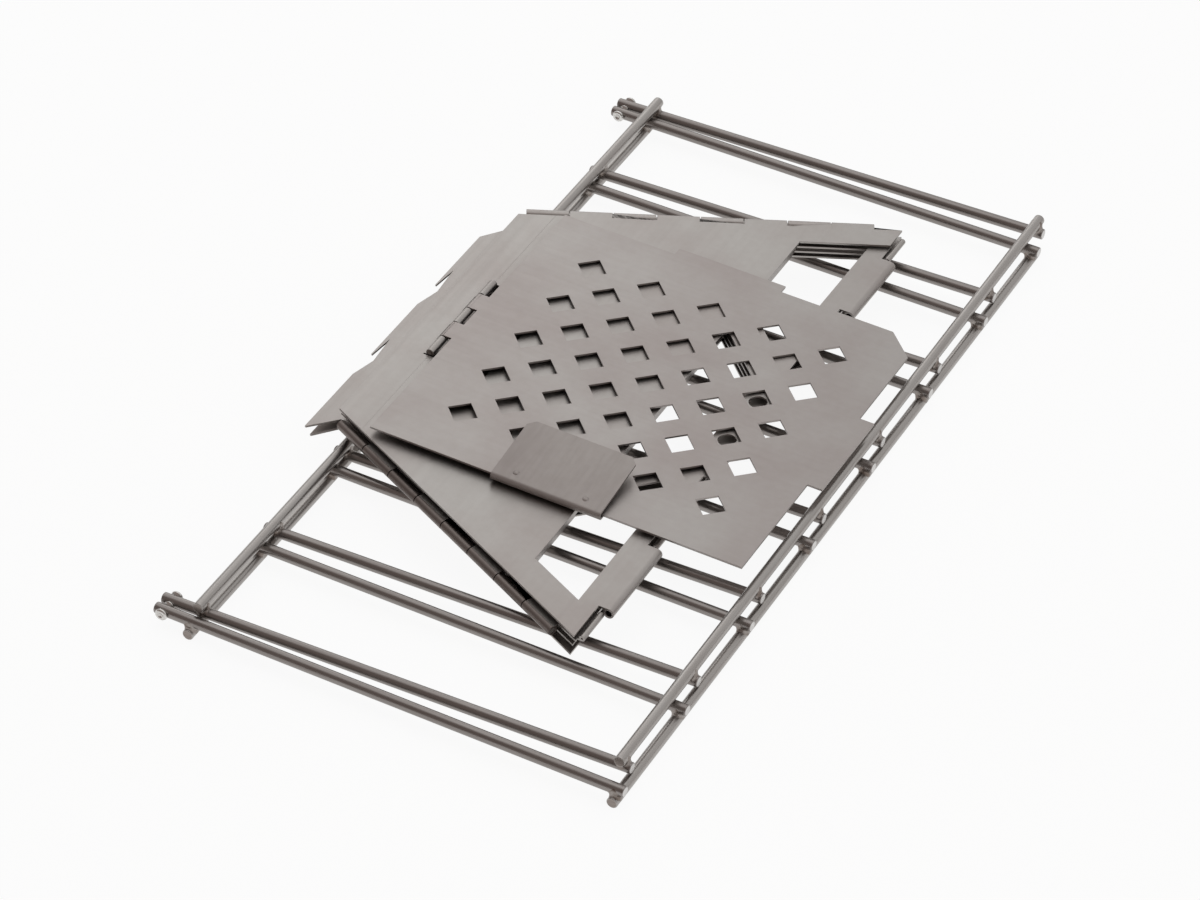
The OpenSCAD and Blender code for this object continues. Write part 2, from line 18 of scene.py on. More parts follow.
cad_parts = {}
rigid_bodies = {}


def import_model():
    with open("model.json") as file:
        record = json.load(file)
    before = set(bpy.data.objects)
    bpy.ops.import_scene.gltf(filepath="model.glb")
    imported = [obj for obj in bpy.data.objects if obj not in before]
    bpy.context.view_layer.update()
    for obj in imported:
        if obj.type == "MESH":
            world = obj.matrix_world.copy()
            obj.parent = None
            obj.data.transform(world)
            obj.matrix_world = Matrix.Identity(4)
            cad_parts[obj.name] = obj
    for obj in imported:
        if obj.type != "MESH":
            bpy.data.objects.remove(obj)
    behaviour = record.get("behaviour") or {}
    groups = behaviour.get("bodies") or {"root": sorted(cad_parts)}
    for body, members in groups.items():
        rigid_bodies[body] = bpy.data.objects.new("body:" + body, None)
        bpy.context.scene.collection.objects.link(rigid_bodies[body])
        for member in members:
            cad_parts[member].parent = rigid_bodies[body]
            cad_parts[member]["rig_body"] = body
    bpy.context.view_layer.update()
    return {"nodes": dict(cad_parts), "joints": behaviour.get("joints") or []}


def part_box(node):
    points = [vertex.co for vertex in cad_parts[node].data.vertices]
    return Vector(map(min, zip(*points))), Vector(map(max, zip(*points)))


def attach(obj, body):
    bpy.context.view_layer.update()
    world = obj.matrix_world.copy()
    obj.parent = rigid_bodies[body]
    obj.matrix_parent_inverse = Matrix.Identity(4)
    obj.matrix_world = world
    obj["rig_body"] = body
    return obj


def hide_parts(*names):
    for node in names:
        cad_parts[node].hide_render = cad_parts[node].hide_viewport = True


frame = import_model()
MM = 0.001
scene = bpy.context.scene
print("nodes in the frame:", len(frame["nodes"]))

# %% [markdown]
# The camera
#
# The picture was taken with a long lens from above the near right corner, so parallel rods stay
# nearly parallel. The camera is set by the point it looks at, its bearing and rise round that point,
# its distance and a slight roll. That keeps every number readable, where a matrix wouldn't. Blender
# takes the lens and the sensor in millimetres, and everything else in metres.

# %% Camera
AIM = Vector((1.58, -15.47, 5.0)) * MM
BEARING = math.radians(-62.92)
RISE = math.radians(38.9)
ROLL = math.radians(0.95)
REACH = 1248.5 * MM
SENSOR_WIDTH = 36
LENS = 144.4
NEAREST_SEEN = 10 * MM

toward_camera = Vector((
    math.cos(RISE) * math.cos(BEARING),
    math.cos(RISE) * math.sin(BEARING),
    math.sin(RISE)))
camera_data = bpy.data.cameras.new("camera")
camera_data.sensor_width = SENSOR_WIDTH
camera_data.lens = LENS
camera_data.clip_start = NEAREST_SEEN
camera = bpy.data.objects.new("camera", camera_data)
turn = toward_camera.to_track_quat("Z", "Y").to_matrix() @ Matrix.Rotation(ROLL, 3, "Z")
camera.matrix_world = Matrix.Translation(AIM + toward_camera * REACH) @ turn.to_4x4()
scene.collection.objects.link(camera)
scene.camera = camera
scene.view_settings.view_transform = "Standard"
print("camera at", [round(c, 3) for c in camera.location])

# %% [markdown]
# Node helpers
#
# The sky, the floor and every finish are networks of shader nodes. Written out, each node takes
# several lines, so what they all need is put in helpers. An input gets a link where the value comes
# from another node, and otherwise a number or a colour.

# %% Node helpers
def feed(tree, value, target):
    if isinstance(value, bpy.types.NodeSocket):
        tree.links.new(value, target)
    elif isinstance(value, tuple):
        target.default_value = (*value, 1)
    else:
        target.default_value = value


def mix(tree, factor, first, second, kind="MIX"):
    node = tree.nodes.new("ShaderNodeMix")
    node.data_type = "RGBA"
    node.blend_type = kind
    for socket, value in (("Factor", factor), ("A", first), ("B", second)):
        feed(tree, value, next(i for i in node.inputs if i.name == socket and i.enabled))
    return next(o for o in node.outputs if o.enabled)


def calculate(tree, operation, first, second):
    node = tree.nodes.new("ShaderNodeMath")
    node.operation = operation
    feed(tree, first, node.inputs[0])
    feed(tree, second, node.inputs[1])
    return node.outputs["Value"]


print("node helpers ready")

# %% [markdown]
# The studio's sky
#
# Bare metal shows its surroundings more than its own colour. The studio is pale above and dark along
# the horizon, most of all on the near left, and that dark side is the brown streak along the middle
# of each bar and hinge barrel. Dark screens could give it, but a smooth ramp over the world's own
# background has no edges to show up in the flat sheets. A direction's share of the dark comes from
# how far it points to the dim side, or how low it is, whichever gives more.

# %% Sky
SKY_PALE = (0.78, 0.78, 0.78)
SKY_DIM = (0.30, 0.255, 0.24)
DIM_BEARING = math.radians(-105)
DIM_HEIGHT = 0.25
DIM_FROM = 0.15
DIM_FULL = 0.62
BAND_TOP = 0.26
BAND_FULL = 0.02
BAND_SHARE = 0.75
DOWN = Vector((0, 0, -1))

world = bpy.data.worlds.new("studio")
scene.world = world
world.use_nodes = True
sky = world.node_tree
sky_direction = sky.nodes.new("ShaderNodeTexCoord")


def sky_share(way, start, full, most):
    along = sky.nodes.new("ShaderNodeVectorMath")
    along.operation = "DOT_PRODUCT"
    along.inputs[1].default_value = way
    share = sky.nodes.new("ShaderNodeMapRange")
    share.interpolation_type = "SMOOTHSTEP"
    share.inputs["From Min"].default_value = start
    share.inputs["From Max"].default_value = full
    share.inputs["To Max"].default_value = most
    sky.links.new(sky_direction.outputs["Generated"], along.inputs[0])
    sky.links.new(along.outputs["Value"], share.inputs["Value"])
    return share.outputs["Result"]


dim_side = Vector((math.cos(DIM_BEARING), math.sin(DIM_BEARING), DIM_HEIGHT)).normalized()
dark_side = sky_share(dim_side, DIM_FROM, DIM_FULL, 1)
dark_band = sky_share(DOWN, -BAND_TOP, -BAND_FULL, BAND_SHARE)
sky_tone = mix(sky, calculate(sky, "MAXIMUM", dark_side, dark_band), SKY_PALE, SKY_DIM)
sky.links.new(sky_tone, sky.nodes["Background"].inputs["Color"])
print("sky nodes:", len(sky.nodes))

# %% [markdown]
# Lamps
#
# Two wide discs, one high over the object and one behind it on the left. A small lamp would leave
# hard shadows and sharp glints, and discs this large have soft ones. The one behind stands low and
# close, so its sheen falls off over the sheets from the far left to the near right, as in the
# picture.

# %% Lamps
def soft_lamp(name, place, size, watts):
    data = bpy.data.lights.new(name, "AREA")
    data.shape = "DISK"
    data.size = size
    data.energy = watts
    lamp = bpy.data.objects.new(name, data)
    aim = (place - AIM).to_track_quat("Z", "Y").to_matrix()
    lamp.matrix_world = Matrix.Translation(place) @ aim.to_4x4()
    scene.collection.objects.link(lamp)


soft_lamp("lamp_over", place=Vector((-0.2, 0.3, 2.2)), size=2.6, watts=7)
soft_lamp("lamp_back", place=Vector((-0.41, 0.57, 0.39)), size=0.45, watts=0.35)

# %% [markdown]
# The floor
#
# A plain white disc. More light would turn it white too, but would wash out the metal. So what the
# camera and the metal see of it is mostly plain white, mixed with a share of ordinary paper, which
# keeps a light shadow under the rods.

# %% Floor
FLOOR_RADIUS = 6
FLOOR_SIDES = 64

floor_mesh = bpy.data.meshes.new("floor")
bm = bmesh.new()
bmesh.ops.create_circle(bm, cap_ends=True, segments=FLOOR_SIDES, radius=FLOOR_RADIUS)
bm.to_mesh(floor_mesh)
bm.free()
floor = bpy.data.objects.new("floor", floor_mesh)
scene.collection.objects.link(floor)
print("floor radius, m:", FLOOR_RADIUS)

# %% Floor paper
PAPER_COLOUR = (0.9, 0.9, 0.9)
PAPER_ROUGH = 0.9
PAPER_SHINE = 0.1
WHITE_SHARE = 0.92

paper = bpy.data.materials.new("white_paper")
paper.use_nodes = True
tree = paper.node_tree
shadowed = tree.nodes["Principled BSDF"]
feed(tree, PAPER_COLOUR, shadowed.inputs["Base Color"])
feed(tree, PAPER_ROUGH, shadowed.inputs["Roughness"])
feed(tree, PAPER_SHINE, shadowed.inputs["Specular IOR Level"])
plain_white = tree.nodes.new("ShaderNodeEmission")
ray = tree.nodes.new("ShaderNodeLightPath")
seen = calculate(tree, "MAXIMUM", ray.outputs["Is Camera Ray"], ray.outputs["Is Glossy Ray"])
seen = calculate(tree, "MAXIMUM", seen, ray.outputs["Is Transmission Ray"])
blend = tree.nodes.new("ShaderNodeMixShader")
feed(tree, calculate(tree, "MULTIPLY", seen, WHITE_SHARE), blend.inputs["Fac"])
feed(tree, shadowed.outputs["BSDF"], blend.inputs[1])
feed(tree, plain_white.outputs["Emission"], blend.inputs[2])
feed(tree, blend.outputs["Shader"], tree.nodes["Material Output"].inputs["Surface"])
floor_mesh.materials.append(paper)
print("floor paper nodes:", len(tree.nodes))

# %% [markdown]
# Metal finishes
#
# All the metal is bare steel, so every finish starts from the same few parts: a Principled shader
# that is fully metallic, noise on Object coordinates for the colour, and stretched noise for the
# grain that rolling or drawing left. A picture of metal could be wrapped round each piece instead,
# but noise needs no unwrapping and has no seams. Its scale counts spots per metre.

# %% Finish helpers
def metal(name):
    finish = bpy.data.materials.new(name)
    finish.use_nodes = True
    shader = finish.node_tree.nodes["Principled BSDF"]
    shader.inputs["Metallic"].default_value = 1
    return finish, finish.node_tree, shader


def noise(tree, scale, detail, stretch=(1, 1, 1), shift=(0, 0, 0)):
    coordinates = tree.nodes.new("ShaderNodeTexCoord")
    mapping = tree.nodes.new("ShaderNodeMapping")
    mapping.inputs["Scale"].default_value = stretch
    mapping.inputs["Location"].default_value = shift
    texture = tree.nodes.new("ShaderNodeTexNoise")
    texture.inputs["Scale"].default_value = scale
    texture.inputs["Detail"].default_value = detail
    tree.links.new(coordinates.outputs["Object"], mapping.inputs["Vector"])
    tree.links.new(mapping.outputs["Vector"], texture.inputs["Vector"])
    return texture.outputs["Fac"]


def ramp(tree, value, span, first, last):
    node = tree.nodes.new("ShaderNodeValToRGB")
    for stop, position, colour in zip(node.color_ramp.elements, span, (first, last)):
        stop.position = position
        stop.color = (*colour, 1)
    tree.links.new(value, node.inputs["Fac"])
    return node.outputs["Color"]


def spread(tree, value, low, high):
    node = tree.nodes.new("ShaderNodeMapRange")
    node.inputs["To Min"].default_value = low
    node.inputs["To Max"].default_value = high
    tree.links.new(value, node.inputs["Value"])
    return node.outputs["Result"]


def bump(tree, height, strength, depth, under=None):
    node = tree.nodes.new("ShaderNodeBump")
    node.inputs["Strength"].default_value = strength
    node.inputs["Distance"].default_value = depth
    tree.links.new(height, node.inputs["Height"])
    if under:
        tree.links.new(under, node.inputs["Normal"])
    return node.outputs["Normal"]


print("finish helpers ready")

# %% [markdown]
# Rolled sheet
#
# The sheet is satin, warm grey, with faint pinkish-brown clouds from heat and handling and a fine
# grain along the direction it was rolled in. The clouds are low-contrast noise some centimetres
# across. The grain is noise squeezed a hundredfold across the rolling direction, and it works on
# roughness and bump, because on real sheet it bends the light more than it colours it. Every piece
# takes its noise from another height, so no two have the same clouds.

# %% Sheet finish
SHEET_PALE = (0.400, 0.379, 0.361)
SHEET_CLOUD = (0.360, 0.327, 0.311)
GRATE_PALE = (0.385, 0.360, 0.344)
GRATE_CLOUD = (0.345, 0.310, 0.296)
CLIP_PALE = (0.368, 0.338, 0.321)
CLIP_CLOUD = (0.330, 0.297, 0.283)
# painted shade: the near leg's hinge barrels get these dark tones for the shade under the top panel's
# edge
BARREL_SHADE_PALE = (0.200, 0.172, 0.159)
BARREL_SHADE_CLOUD = (0.160, 0.134, 0.123)
SPECK_DARK = (0.97, 0.965, 0.96)
SPECK_NONE = (1, 1, 1)
SHEET_ROUGH = (0.34, 0.50)
CLIP_ROUGH = (0.50, 0.66)
CLOUDS = {"scale": 30, "detail": 2}
CLOUD_SPAN = (0.40, 0.68)
SPECKS = {"scale": 420, "detail": 4}
SPECK_SPAN = (0.35, 0.65)
GRAIN = {"scale": 1, "detail": 3}
GRAIN_ALONG_Y = (900, 9, 900)
GRAIN_ALONG_X = (9, 900, 900)
GRAIN_RELIEF = {"strength": 0.10, "depth": 0.02 * MM}
WAVES = {"scale": 30, "detail": 1}
WAVE_RELIEF = {"strength": 0.12, "depth": 0.2 * MM}
NOISE_STEP = 0.7
PANELS = 4


def rolled_sheet(name, number, grain, pale=SHEET_PALE, cloud=SHEET_CLOUD, rough=SHEET_ROUGH):
    finish, tree, shader = metal(name)
    shift = (0, 0, number * NOISE_STEP)
    tint = ramp(tree, noise(tree, **CLOUDS, shift=shift), CLOUD_SPAN, pale, cloud)
    specks = ramp(tree, noise(tree, **SPECKS, shift=shift), SPECK_SPAN, SPECK_DARK, SPECK_NONE)
    feed(tree, mix(tree, 1.0, tint, specks, "MULTIPLY"), shader.inputs["Base Color"])
    streaks = noise(tree, **GRAIN, stretch=grain, shift=shift)
    feed(tree, spread(tree, streaks, *rough), shader.inputs["Roughness"])
    waves = bump(tree, noise(tree, **WAVES, shift=shift), **WAVE_RELIEF)
    feed(tree, bump(tree, streaks, **GRAIN_RELIEF, under=waves), shader.inputs["Normal"])
    return finish


sheet_finish = {
    f"panel_{i + 1}": rolled_sheet(f"sheet_panel_{i + 1}", i, GRAIN_ALONG_Y)
    for i in range(PANELS)}
sheet_finish["grate"] = rolled_sheet(
    "sheet_grate", PANELS, GRAIN_ALONG_X, GRATE_PALE, GRATE_CLOUD)
sheet_finish["clip"] = rolled_sheet(
    "sheet_clip", PANELS + 1, GRAIN_ALONG_Y, CLIP_PALE, CLIP_CLOUD, CLIP_ROUGH)
# painted shade: a dark copy of the sheet finish for the shaded barrels of the near hinge
barrel_shade_finish = rolled_sheet(
    "sheet_barrels_painted_shade", PANELS + 2, GRAIN_ALONG_Y, BARREL_SHADE_PALE, BARREL_SHADE_CLOUD)
print("sheet finishes:", len(sheet_finish) + 1)

# %% [markdown]
# Drawn rod
#
# The rods are darker than the sheet. The bars are painted darker than the rails of the same wire, a
# painted shade for the dimmer light they catch. All rods turn brown towards each weld.
# That tint follows the welds, not the object's axes, so each rod carries a vertex attribute named
# heat, from 0 on clean rod to 1 at a weld, and the finish reads it. Patches of noise break it up.

# %% Rod finish
RAIL_PALE = (0.385, 0.365, 0.348)
RAIL_DULL = (0.34, 0.315, 0.298)
# painted shade: the bars' tones are the rails' tones darkened, for the dimmer light the bars catch
BAR_SHADE_PALE = (0.275, 0.253, 0.240)
BAR_SHADE_DULL = (0.242, 0.218, 0.206)
ROD_HEAT = (0.185, 0.150, 0.132)
ROD_ROUGH = (0.27, 0.40)
BAR_GRAIN = (40, 1500, 1500)
RAIL_GRAIN = (1500, 40, 1500)
DULL_SPAN = (0.35, 0.70)
ROD_RELIEF = {"strength": 0.12, "depth": 0.02 * MM}
HEAT_PATCHES = {"scale": 300, "detail": 3}
HEAT_LEAST = 0.45


def drawn_rod(name, grain, pale, dull):
    finish, tree, shader = metal(name)
    streaks = noise(tree, **GRAIN, stretch=grain)
    clean = ramp(tree, streaks, DULL_SPAN, pale, dull)
    heat = tree.nodes.new("ShaderNodeAttribute")
    heat.attribute_name = "heat"
    patches = spread(tree, noise(tree, **HEAT_PATCHES), HEAT_LEAST, 1)
    patchy_heat = calculate(tree, "MULTIPLY", heat.outputs["Fac"], patches)
    feed(tree, mix(tree, patchy_heat, clean, ROD_HEAT), shader.inputs["Base Color"])
    feed(tree, spread(tree, streaks, *ROD_ROUGH), shader.inputs["Roughness"])
    feed(tree, bump(tree, streaks, **ROD_RELIEF), shader.inputs["Normal"])
    return finish


rod_finish = {
    "bar": drawn_rod("rod_bars_painted_shade", BAR_GRAIN, BAR_SHADE_PALE, BAR_SHADE_DULL),
    "rail": drawn_rod("rod_rails", RAIL_GRAIN, RAIL_PALE, RAIL_DULL),
}
print("rod finishes:", len(rod_finish))

# %% [markdown]
# Cut ends, rivets and pins
#
# These small faces vary between two tones, so one function makes them all. The bars' cut ends are
# painted bright, a painted highlight for ends that face the light, and the rails' are painted dark
# brown, a painted shade for ends that face away from it. Both show the level marks of the cut.
# The rivet heads were peened after everything else, so they are the brightest metal on the object.
# The hinge pins are plain drawn wire.

# %% Small finishes
TONE_SPAN = (0.35, 0.65)
CUT_MARKS = {"scale": 1, "detail": 2, "stretch": (400, 400, 3000)}
CUT_RELIEF = {"strength": 0.2, "depth": 0.03 * MM}
CUT_ROUGH = 0.35
# painted highlight on the bars' cut ends and painted shade on the rails' cut ends
BAR_END_HIGHLIGHT = {"dark": (0.54, 0.525, 0.51), "pale": (0.66, 0.645, 0.63)}
RAIL_END_SHADE = {"dark": (0.234, 0.20, 0.182), "pale": (0.286, 0.25, 0.228)}
RIVET_MARKS = {"scale": 1500, "detail": 3}
RIVET_ROUGH = 0.22
RIVET_TONES = {"dark": (0.52, 0.50, 0.475), "pale": (0.70, 0.69, 0.67)}
PIN_MARKS = {"scale": 1200, "detail": 3}
PIN_ROUGH = 0.3
PIN_TONES = {"dark": (0.30, 0.28, 0.26), "pale": (0.45, 0.43, 0.41)}


def marked_metal(name, roughness, marks, dark, pale, relief=None):
    finish, tree, shader = metal(name)
    pattern = noise(tree, **marks)
    feed(tree, ramp(tree, pattern, TONE_SPAN, dark, pale), shader.inputs["Base Color"])
    feed(tree, roughness, shader.inputs["Roughness"])
    if relief:
        feed(tree, bump(tree, pattern, **relief), shader.inputs["Normal"])
    return finish


end_painted_light = {
    "bar": marked_metal("bar_cut_end_painted_highlight", CUT_ROUGH, CUT_MARKS, **BAR_END_HIGHLIGHT, relief=CUT_RELIEF),
    "rail": marked_metal("rail_cut_end_painted_shade", CUT_ROUGH, CUT_MARKS, **RAIL_END_SHADE, relief=CUT_RELIEF),
}
rivet_finish = marked_metal("peened_rivet", RIVET_ROUGH, RIVET_MARKS, **RIVET_TONES)
pin_finish = marked_metal("drawn_pin", PIN_ROUGH, PIN_MARKS, **PIN_TONES)
print("small finishes:", ", ".join(f.name for f in (*end_painted_light.values(), rivet_finish, pin_finish)))

# %% [markdown]
# Weld metal
#
# The welds are rod metal with brown patches where they were hottest. One noise drives the colour,
# the roughness and the bump, so that a patch is brown, dull and slightly sunk all at once, as scale
# on hot metal is. Three separate noises would look like dirt.

# %% Weld finish
WELD_BROWN = (0.19, 0.155, 0.135)
WELD_CLEAN = (0.32, 0.292, 0.272)
WELD_PATCHES = {"scale": 420, "detail": 3}
WELD_SPAN = (0.40, 0.62)
WELD_ROUGH = (0.44, 0.30)
WELD_RELIEF = {"strength": 0.25, "depth": 0.08 * MM}

weld_finish, tree, shader = metal("weld_bead")
weld_patches = noise(tree, **WELD_PATCHES)
feed(tree, ramp(tree, weld_patches, WELD_SPAN, WELD_BROWN, WELD_CLEAN), shader.inputs["Base Color"])
feed(tree, spread(tree, weld_patches, *WELD_ROUGH), shader.inputs["Roughness"])
feed(tree, bump(tree, weld_patches, **WELD_RELIEF), shader.inputs["Normal"])
print("weld finish nodes:", len(tree.nodes))

# %% [markdown]
# Placing a piece
#
# Every piece is finished in the object's own frame, so its object stays at the origin. It rides on
# the body of the CAD node that it stands for, and that node is then hidden. Flat faces next to small
# rounded ones would shade as if they bulged, so a Weighted Normal modifier lets the large faces
# decide.

# %% Placing helpers
LARGE_FACES_DECIDE = 100


def place(name, bm, material, body, slot, *nodes):
    mesh = bpy.data.meshes.new(name)
    bm.to_mesh(mesh)
    bm.free()
    mesh.materials.append(material)
    piece = bpy.data.objects.new(name, mesh)
    scene.collection.objects.link(piece)
    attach(piece, body)
    if nodes:
        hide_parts(*nodes)
    return piece


def body_of(node):
    return frame["nodes"][node]["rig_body"]


def joint(name):
    return next(j for j in frame["joints"] if j["name"] == name)


def smooth(bm):
    for face in bm.faces:
        face.smooth = True


def keep_flat(piece, name, keep_sharp=False):
    flat = piece.modifiers.new(name, "WEIGHTED_NORMAL")
    flat.weight = LARGE_FACES_DECIDE
    flat.keep_sharp = keep_sharp


# %% [markdown]
# Sheet pieces
#
# Punched sheet has a fine rounded edge that catches the light, and a modelled sheet without it looks
# like paper. The panels, grate and clip are copies of the CAD solids: the loose triangles are merged,
# flat triangles dissolved back into whole faces, and every sharp edge gets a narrow bevel. The
# barrels rolled along the near leg lie in shade under the top panel's edge. That shade is painted
# into them as a dark brown colour, so the faces close to that hinge's line get a finish of their own.

# %% Sheet pieces
MERGE_WITHIN = 0.002 * MM
FLAT_WITHIN = math.radians(0.5)
SHARP_FROM = math.radians(35)
EDGE_ROUND = 0.07 * MM
EDGE_STEPS = 2
BARREL_REACH = 1.5 * MM
BARREL_PANELS = ("panel_2", "panel_3")


def softened(node):
    bm = bmesh.new()
    bm.from_mesh(frame["nodes"][node].data)
    bmesh.ops.remove_doubles(bm, verts=bm.verts, dist=MERGE_WITHIN)
    bmesh.ops.dissolve_limit(
        bm, angle_limit=FLAT_WITHIN, use_dissolve_boundaries=False,
        verts=bm.verts, edges=bm.edges, delimit=set())
    sharp = [e for e in bm.edges if e.is_manifold and e.calc_face_angle(0) > SHARP_FROM]
    bmesh.ops.bevel(
        bm, geom=sharp, offset=EDGE_ROUND, offset_type="OFFSET", segments=EDGE_STEPS, profile=0.5,
        affect="EDGES", clamp_overlap=False, material=-1)
    smooth(bm)
    return bm


near_hinge = joint("hinge_23")
near_line = Vector(near_hinge["pos_m"])
near_way = Vector(near_hinge["axis"]).normalized()


# paints shade onto the barrel faces near the near hinge's line
def paint_barrel_shade(piece):
    piece.data.materials.append(barrel_shade_finish)
    for face in piece.data.polygons:
        off = face.center - near_line
        if (off - near_way * off.dot(near_way)).length < BARREL_REACH:
            face.material_index = 1


for node, finish in sheet_finish.items():
    piece = place(node + "_sheet", softened(node), finish, body_of(node), "sheet", node)
    keep_flat(piece, "flat_faces", keep_sharp=True)
    if node in BARREL_PANELS:
        paint_barrel_shade(piece)
    print(piece.name, "faces:", len(piece.data.polygons))

# %% [markdown]
# Rod axes
#
# The grill's two leaves are alike: two long rails and eight bars across them. The CAD gives each
# rod's axis, as the middles of its two end faces, so no length is written here a second time. Where
# a rail and a bar pass closest to each other, they are welded.

# %% Rod axes
ROD_RADIUS = (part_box("rail_low_left")[1].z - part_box("rail_low_left")[0].z) / 2
CAP_DEPTH = 0.2 * MM
SAME_POINT_DIGITS = 7
BARS = 8
LEAVES = {"top": "upper_leaf", "low": "lower_leaf"}


def rod_axis(node):
    way = 0 if node.startswith("bar") else 1
    corners = frame["nodes"][node].data.vertices
    points = {tuple(round(c, SAME_POINT_DIGITS) for c in v.co) for v in corners}
    low = min(p[way] for p in points)
    high = max(p[way] for p in points)
    near = [Vector(p) for p in points if p[way] < low + CAP_DEPTH]
    far = [Vector(p) for p in points if p[way] > high - CAP_DEPTH]
    return sum(near, Vector()) / len(near), sum(far, Vector()) / len(far)


rods = {
    leaf: {
        "rail": [f"rail_{leaf}_left", f"rail_{leaf}_right"],
        "bar": [f"bar_{leaf}_{i + 1}" for i in range(BARS)]}
    for leaf in LEAVES}
axes = {n: rod_axis(n) for leaf in rods.values() for group in leaf.values() for n in group}
welds = {
    leaf: [
        (rail, bar, *intersect_line_line(*axes[rail], *axes[bar]))
        for rail in group["rail"] for bar in group["bar"]]
    for leaf, group in rods.items()}
print("rods:", len(axes), "welds:", sum(len(w) for w in welds.values()))

# %% [markdown]
# Rods
#
# Each rod is a cylinder whose cut ends are slightly rounded. A curve with a round bevel would give
# one too, but the heat tint needs vertices to live on, and a cylinder can be cut into rings where
# they are wanted: close together at every weld, and none on the clean lengths between.

# %% Rod pieces
ROD_SIDES = 40
ROD_TIP = 0.25 * MM
TIP_STEPS = 3
LEVEL_WITHIN = 1e-6 * MM
END_FACING = 0.99
HEAT_REACH = 2.2 * MM
HEAT_RINGS = [r * MM for r in (0, 0.8, 1.6, 2.6, 3.8, 5.5)]


def rod(node, marks):
    start, end = axes[node]
    length = (end - start).length
    bm = bmesh.new()
    bmesh.ops.create_cone(
        bm, cap_ends=True, segments=ROD_SIDES, radius1=ROD_RADIUS, radius2=ROD_RADIUS, depth=length)
    rims = [e for e in bm.edges if abs(e.verts[0].co.z - e.verts[1].co.z) < LEVEL_WITHIN]
    bmesh.ops.bevel(
        bm, geom=rims, offset=ROD_TIP, segments=TIP_STEPS, profile=0.5, affect="EDGES", material=-1)
    middles = [(m - start).length - length / 2 for m in marks]
    for middle in middles:
        for ring in sorted({side * r for r in HEAT_RINGS for side in (-1, 1)}):
            if abs(middle + ring) < length / 2 - ROD_TIP:
                bmesh.ops.bisect_plane(
                    bm, geom=bm.verts[:] + bm.edges[:] + bm.faces[:],
                    plane_co=(0, 0, middle + ring), plane_no=(0, 0, 1))
    heat = bm.verts.layers.float.new("heat")
    for v in bm.verts:
        v[heat] = max(math.exp(-((v.co.z - m) / HEAT_REACH) ** 2) for m in middles)
    for face in bm.faces:
        face.material_index = int(abs(face.normal.z) > END_FACING)
    along = (end - start).to_track_quat("Z", "Y").to_matrix().to_4x4()
    bm.transform(Matrix.Translation((start + end) / 2) @ along)
    smooth(bm)
    return bm


for leaf, group in rods.items():
    for kind, names in group.items():
        for node in names:
            marks = [
                at_rail if kind == "rail" else at_bar
                for rail, bar, at_rail, at_bar in welds[leaf] if node in (rail, bar)]
            piece = place(
                node + "_rod", rod(node, marks), rod_finish[kind], LEAVES[leaf], "rod", node)
            piece.data.materials.append(end_painted_light[kind])
            keep_flat(piece, "flat_ends")

# %% [markdown]
# Welds
#
# The rods were pressed together while hot, so each crossing is a small saddle: the two rods run into
# each other and a thin collar of squeezed-out metal fills the corner round the contact. A short
# sleeve on each rod and a flat disc between them give the rough form, no two quite alike. A voxel
# Remesh melts them into one skin, and a Smooth modifier draws the corners into fillets. Each sleeve
# narrows to just under the rod's surface, so the skin comes out of the rod without a step.

# %% Welds
SLEEVE_LEN = 2.0 * MM
SLEEVE_SWELL = 0.26 * MM
SLEEVE_END = -0.14 * MM
SWELL_SHARE = (0.4, 0.9)
COLLAR_OUT = 1.85 * MM
COLLAR_SHARE = (0.92, 1.06)
COLLAR_THICK = 1.2 * MM
HALF_THICK_SHARE = (0.4, 0.55)
TUBE_SIDES = 32
MELT_SIZE = 0.2 * MM
FILLET_PULL = 0.5
FILLET_ROUNDS = 8
WELD_SEED = 7
chance = random.Random(WELD_SEED)


def tube(bm, start, end, radius_start, radius_end):
    way = end - start
    turn_to = way.to_track_quat("Z", "Y").to_matrix().to_4x4()
    bmesh.ops.create_cone(
        bm, cap_ends=True, segments=TUBE_SIDES, depth=way.length, radius1=radius_start,
        radius2=radius_end, matrix=Matrix.Translation((start + end) / 2) @ turn_to)


def weld(bm, rail, bar, at_rail, at_bar):
    across = (at_bar - at_rail).normalized()
    contact = (at_rail + at_bar) / 2
    inward = across * SLEEVE_SWELL
    for node, middle in ((rail, at_rail + inward), (bar, at_bar - inward)):
        way = (axes[node][1] - axes[node][0]).normalized() * SLEEVE_LEN
        swollen = ROD_RADIUS + SLEEVE_SWELL * chance.uniform(*SWELL_SHARE)
        for side in (-1, 1):
            tube(bm, middle, middle + way * side, swollen, ROD_RADIUS + SLEEVE_END)
    half = across * COLLAR_THICK * chance.uniform(*HALF_THICK_SHARE)
    radius = COLLAR_OUT * chance.uniform(*COLLAR_SHARE)
    tube(bm, contact - half, contact + half, radius, radius)


for leaf, body in LEAVES.items():
    bm = bmesh.new()
    for crossing in welds[leaf]:
        weld(bm, *crossing)
    piece = place(f"welds_{leaf}", bm, weld_finish, body, "rod")
    melt = piece.modifiers.new("melt", "REMESH")
    melt.mode = "VOXEL"
    melt.voxel_size = MELT_SIZE
    melt.use_smooth_shade = True
    round_off = piece.modifiers.new("round_off", "SMOOTH")
    round_off.factor = FILLET_PULL
    round_off.iterations = FILLET_ROUNDS
    print(piece.name, "crossings:", len(welds[leaf]))

# %% [markdown]
# Rivets
#
# A rivet is a turned part: a shank with a peened, slightly hollow head on each end and a collar that
# keeps the two bars apart. Stacked cylinders would leave inner faces, so its half outline is drawn
# once and spun about the hinge line into one skin. A point of the head's outline is a distance from
# that line and a depth below the top of the head.

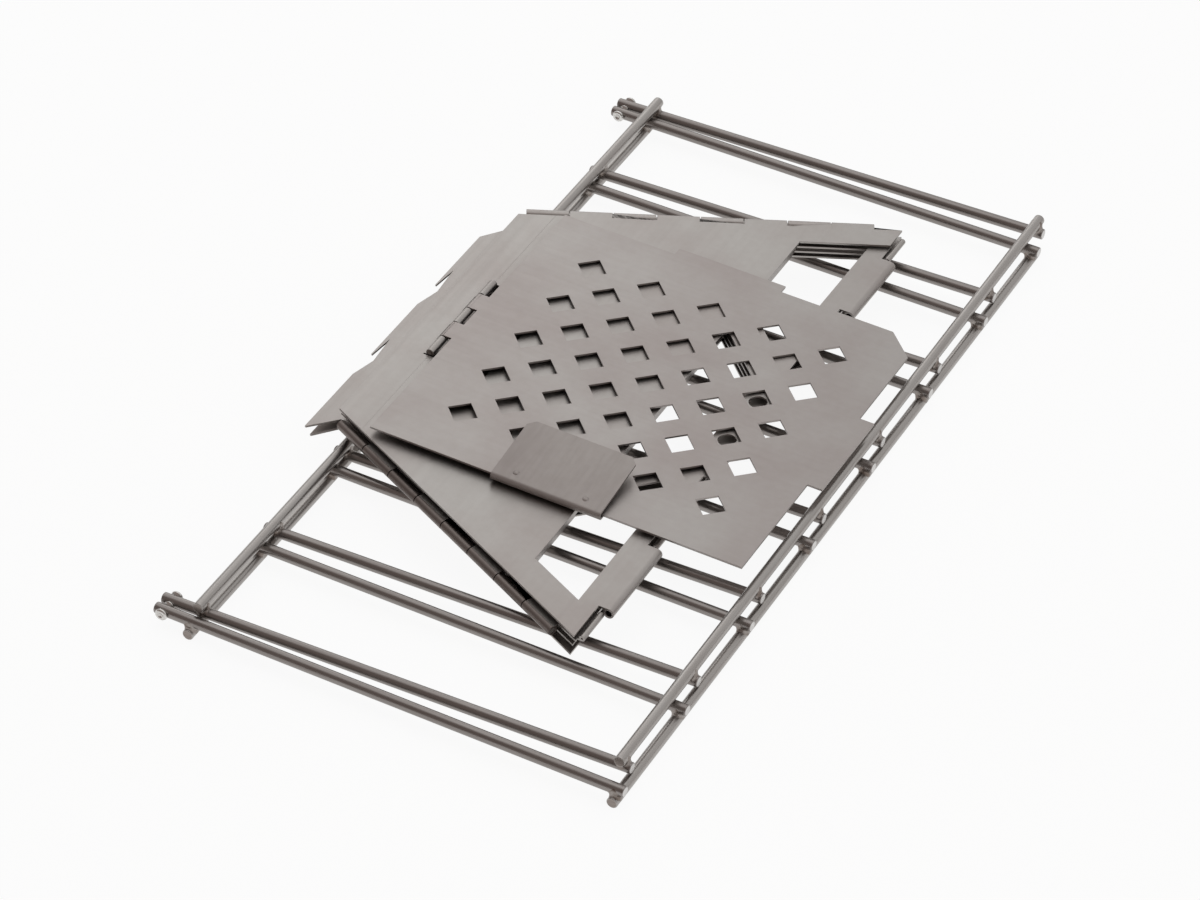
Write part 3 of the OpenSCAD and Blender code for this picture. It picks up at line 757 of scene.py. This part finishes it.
# %% Rivets
rivet_low, rivet_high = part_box("rivets")
rivet_line = Vector(joint("grill_fold")["pos_m"])
HEAD_RADIUS = (rivet_high.z - rivet_low.z) / 2
HEAD_HEIGHT = 0.9 * MM
SHANK_RADIUS = 0.7 * MM
COLLAR_RADIUS = 1.3 * MM
COLLAR_WITHIN = 0.05 * MM
CLEAR_OF_HEAD = 2 * HEAD_HEIGHT
CUP_RADIUS = 0.75 * MM
CUP_DEPTH = 0.45 * MM
TURN_STEPS = 32
SEAM_WITHIN = 0.005 * MM
CUP = [(0, CUP_DEPTH), (CUP_RADIUS * 0.6, CUP_DEPTH * 0.9), (CUP_RADIUS, CUP_DEPTH * 0.3)]
RIM = [
    (CUP_RADIUS * 1.25, 0), (HEAD_RADIUS * 0.75, 0.06 * MM), (HEAD_RADIUS * 0.92, 0.22 * MM),
    (HEAD_RADIUS, 0.5 * MM)]
UNDERSIDE = [(HEAD_RADIUS * 0.96, HEAD_HEIGHT), (SHANK_RADIUS, HEAD_HEIGHT)]
HEAD = CUP + RIM + UNDERSIDE


def rivet(bm, near_end, far_end, collar_from, collar_to):
    outline = [(r, near_end + y) for r, y in HEAD]
    outline += [(SHANK_RADIUS, collar_from), (COLLAR_RADIUS, collar_from)]
    outline += [(COLLAR_RADIUS, collar_to), (SHANK_RADIUS, collar_to)]
    outline += [(r, far_end - y) for r, y in reversed(HEAD)]
    ring = [bm.verts.new((rivet_line.x + r, y, rivet_line.z)) for r, y in outline]
    edges = [bm.edges.new(pair) for pair in zip(ring, ring[1:])]
    bmesh.ops.spin(
        bm, geom=ring + edges, cent=(rivet_line.x, 0, rivet_line.z), axis=(0, 1, 0),
        angle=math.tau, steps=TURN_STEPS, use_merge=True)


rivet_points = [v.co for v in frame["nodes"]["rivets"].data.vertices]
middle_y = (rivet_low.y + rivet_high.y) / 2
bm = bmesh.new()
for side in (-1, 1):
    own = [p for p in rivet_points if (p.y - middle_y) * side > 0]
    near_end = min(p.y for p in own)
    far_end = max(p.y for p in own)
    collar = [
        p.y for p in own
        if abs((p - rivet_line).xz.length - COLLAR_RADIUS) < COLLAR_WITHIN
        and near_end + CLEAR_OF_HEAD < p.y < far_end - CLEAR_OF_HEAD]
    rivet(bm, near_end, far_end, min(collar), max(collar))
bmesh.ops.remove_doubles(bm, verts=bm.verts, dist=SEAM_WITHIN)
bmesh.ops.recalc_face_normals(bm, faces=bm.faces)
smooth(bm)
piece = place("rivets_peened", bm, rivet_finish, "upper_leaf", "pin", "rivets")
print(piece.name, "faces:", len(piece.data.polygons))

# %% [markdown]
# Hinge pins
#
# Only the ends of the pins show between the knuckles, and the CAD's plain pins are right as they
# are. They keep their solids and take the drawn-wire finish.

# %% Pins
PINS = ("pin_12", "pin_23", "pin_34", "grate_pin")

for node in PINS:
    data = frame["nodes"][node].data
    data.materials.clear()
    data.materials.append(pin_finish)
print("pins:", len(PINS))
